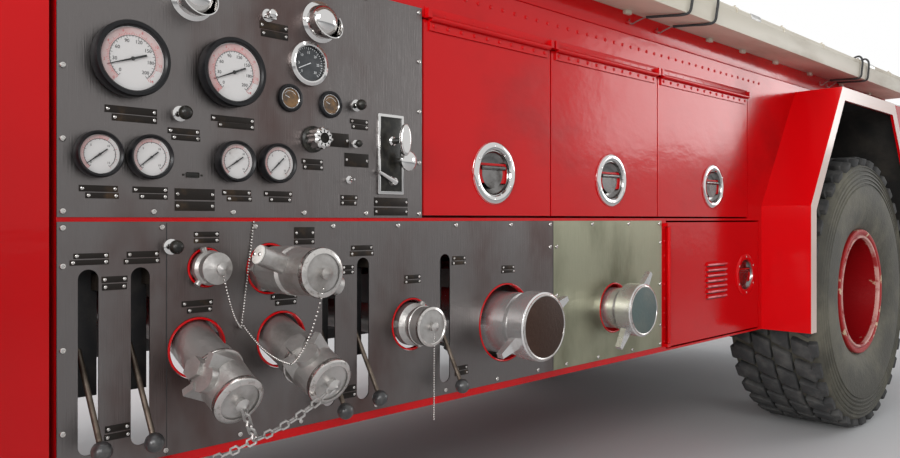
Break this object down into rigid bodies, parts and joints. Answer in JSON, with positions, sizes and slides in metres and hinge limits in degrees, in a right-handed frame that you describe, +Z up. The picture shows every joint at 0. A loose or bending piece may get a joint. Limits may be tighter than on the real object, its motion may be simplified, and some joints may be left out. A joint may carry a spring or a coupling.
{
  "type": "airport crash tender fire engine",
  "caption": "Four-wheel crash tender with cab in front, water tank, side pump bay with gauges and capped outlets, lift-up locker doors, flared arches and roof monitor.",
  "frame": {"origin": "on the ground, half way along and half way across the vehicle", "axes": "+X to the front, +Y to the vehicle left, +Z up"},
  "size_m": [7.5, 2.66, 2.784],
  "materials": {
    "red_paint": "gloss red enamel",
    "stainless": "brushed, slightly dull",
    "frame_black": "satin black chassis paint",
    "cast_grey": "rough painted casting",
    "tyre_rubber": "dry rubber, dusty tread",
    "rim_red": "gloss red, worn at the flange",
    "cast_aluminium": "cast and polished, dull",
    "chrome": "bright plating",
    "black_plastic": "moulded, satin",
    "black_metal": "black gloss",
    "window_glass": "clear, faint green",
    "seat_cloth": "woven dark cloth",
    "cream_paint": "cream enamel",
    "ladder_aluminium": "extruded, brushed",
    "tread_plate": "raised-bar treadplate",
    "lamp_lens": "moulded lens",
    "tank_paint": "gloss red enamel"
  },
  "bodies": {
    "chassis": {"body_left": "red_paint", "body_right": "red_paint", "bumpers": "frame_black", "cab_glass": "window_glass", "cab_seats": "seat_cloth", "cab_shell": "red_paint", "chassis_frame": "frame_black", "dashboard": "black_plastic", "deck_plates": "tread_plate", "discharge_outlets": "cast_aluminium", "drive_shafts": "frame_black", "engine": "cast_grey", "engine_housing": "red_paint", "exhaust": "cast_grey", "front_axle": "cast_grey", "front_flares": "red_paint", "hand_levers": "black_plastic", "ladder": "ladder_aluminium", "ladder_tray": "cream_paint", "lamps": "lamp_lens", "leaf_springs": "frame_black", "mirrors": "black_plastic", "monitor_base": "red_paint", "panel_controls": "chrome", "pike_pole": "ladder_aluminium", "pump": "cast_grey", "pump_gauges": "black_metal", "pump_panels": "stainless", "rear_axle": "cast_grey", "rear_flares": "red_paint", "rear_grille": "black_metal", "suction_inlets": "cast_aluminium", "underbody_tanks": "frame_black", "water_tank": "tank_paint"},
    "knuckle_left": {"knuckle_left": "cast_grey"},
    "knuckle_right": {"knuckle_right": "cast_grey"},
    "tie_rod": {"tie_rod": "frame_black"},
    "wheel_front_left": {"rim_front_left": "rim_red", "tyre_front_left": "tyre_rubber"},
    "wheel_front_right": {"rim_front_right": "rim_red", "tyre_front_right": "tyre_rubber"},
    "wheel_rear_left": {"rim_rear_left": "rim_red", "tyre_rear_left": "tyre_rubber"},
    "wheel_rear_right": {"rim_rear_right": "rim_red", "tyre_rear_right": "tyre_rubber"},
    "cab_door_left": {"cab_door_left": "red_paint", "door_glass_left": "window_glass"},
    "cab_door_right": {"cab_door_right": "red_paint", "door_glass_right": "window_glass"},
    "louvre_door_left": {"louvre_door_left": "red_paint"},
    "louvre_door_right": {"louvre_door_right": "red_paint"},
    "steering_wheel": {"steering_wheel": "black_plastic"},
    "monitor_head": {"monitor_head": "red_paint"},
    "monitor_barrel": {"monitor_barrel": "red_paint"},
    "locker_door_left_1": {"locker_door_left_1": "red_paint"},
    "locker_door_left_2": {"locker_door_left_2": "red_paint"},
    "locker_door_left_3": {"locker_door_left_3": "red_paint"},
    "locker_door_right_1": {"locker_door_right_1": "red_paint"},
    "locker_door_right_2": {"locker_door_right_2": "red_paint"}
  },
  "joints": [
    {"name": "steer_left", "type": "hinge", "parent": "chassis", "child": "knuckle_left", "pos_m": [2.182, 0.77, 0.62], "axis": [0, 0, 1], "range_deg": [-30, 30]},
    {"name": "steer_right", "type": "hinge", "parent": "chassis", "child": "knuckle_right", "pos_m": [2.182, -0.77, 0.62], "axis": [0, 0, 1], "range_deg": [-30, 30]},
    {"name": "tie_rod_pin", "type": "hinge", "parent": "knuckle_left", "child": "tie_rod", "pos_m": [1.952, 0.77, 0.5], "axis": [0, 0, 1], "range_deg": [-30, 30]},
    {"name": "wheel_front_left_spin", "type": "hinge", "parent": "knuckle_left", "child": "wheel_front_left", "pos_m": [2.182, 1.035, 0.62], "axis": [0, 1, 0], "continuous": true},
    {"name": "wheel_front_right_spin", "type": "hinge", "parent": "knuckle_right", "child": "wheel_front_right", "pos_m": [2.182, -1.035, 0.62], "axis": [0, 1, 0], "continuous": true},
    {"name": "wheel_rear_left_spin", "type": "hinge", "parent": "chassis", "child": "wheel_rear_left", "pos_m": [-2.318, 1.035, 0.62], "axis": [0, 1, 0], "continuous": true},
    {"name": "wheel_rear_right_spin", "type": "hinge", "parent": "chassis", "child": "wheel_rear_right", "pos_m": [-2.318, -1.035, 0.62], "axis": [0, 1, 0], "continuous": true},
    {"name": "cab_door_left_swing", "type": "hinge", "parent": "chassis", "child": "cab_door_left", "pos_m": [3.595, 1.06, 1.05], "axis": [0, 0, -1], "range_deg": [0, 75]},
    {"name": "cab_door_right_swing", "type": "hinge", "parent": "chassis", "child": "cab_door_right", "pos_m": [3.595, -1.06, 1.05], "axis": [0, 0, 1], "range_deg": [0, 75]},
    {"name": "locker_door_left_1_lift", "type": "hinge", "parent": "chassis", "child": "locker_door_left_1", "pos_m": [0.026, 1.06, 1.435], "axis": [1, 0, 0], "range_deg": [0, 95]},
    {"name": "locker_door_left_2_lift", "type": "hinge", "parent": "chassis", "child": "locker_door_left_2", "pos_m": [-0.5105, 1.06, 1.435], "axis": [1, 0, 0], "range_deg": [0, 95]},
    {"name": "locker_door_left_3_lift", "type": "hinge", "parent": "chassis", "child": "locker_door_left_3", "pos_m": [-1.142, 1.06, 1.435], "axis": [1, 0, 0], "range_deg": [0, 95]},
    {"name": "locker_door_right_1_lift", "type": "hinge", "parent": "chassis", "child": "locker_door_right_1", "pos_m": [0.4405, -1.06, 1.435], "axis": [-1, 0, 0], "range_deg": [0, 95]},
    {"name": "locker_door_right_2_lift", "type": "hinge", "parent": "chassis", "child": "locker_door_right_2", "pos_m": [-0.8425, -1.06, 1.435], "axis": [-1, 0, 0], "range_deg": [0, 95]},
    {"name": "louvre_door_left_swing", "type": "hinge", "parent": "chassis", "child": "louvre_door_left", "pos_m": [-0.859, 1.06, 0.727], "axis": [0, 0, -1], "range_deg": [0, 95]},
    {"name": "louvre_door_right_swing", "type": "hinge", "parent": "chassis", "child": "louvre_door_right", "pos_m": [-0.859, -1.06, 0.727], "axis": [0, 0, 1], "range_deg": [0, 95]},
    {"name": "steering_wheel_turn", "type": "hinge", "parent": "chassis", "child": "steering_wheel", "pos_m": [3.24, 0.55, 1.79], "axis": [-0.3289, 0, 0.9444], "range_deg": [-540, 540]},
    {"name": "monitor_turn", "type": "hinge", "parent": "chassis", "child": "monitor_head", "pos_m": [2.45, 0, 2.57], "axis": [0, 0, 1], "range_deg": [-110, 110]},
    {"name": "monitor_tilt", "type": "hinge", "parent": "monitor_head", "child": "monitor_barrel", "pos_m": [2.45, 0, 2.73], "axis": [0, -1, 0], "range_deg": [-12, 70]}
  ],
  "couplings": [
    {"joint": "steer_right", "follows": "steer_left", "ratio": 1},
    {"joint": "tie_rod_pin", "follows": "steer_left", "ratio": -1},
    {"joint": "steering_wheel_turn", "follows": "steer_left", "ratio": 18}
  ]
}
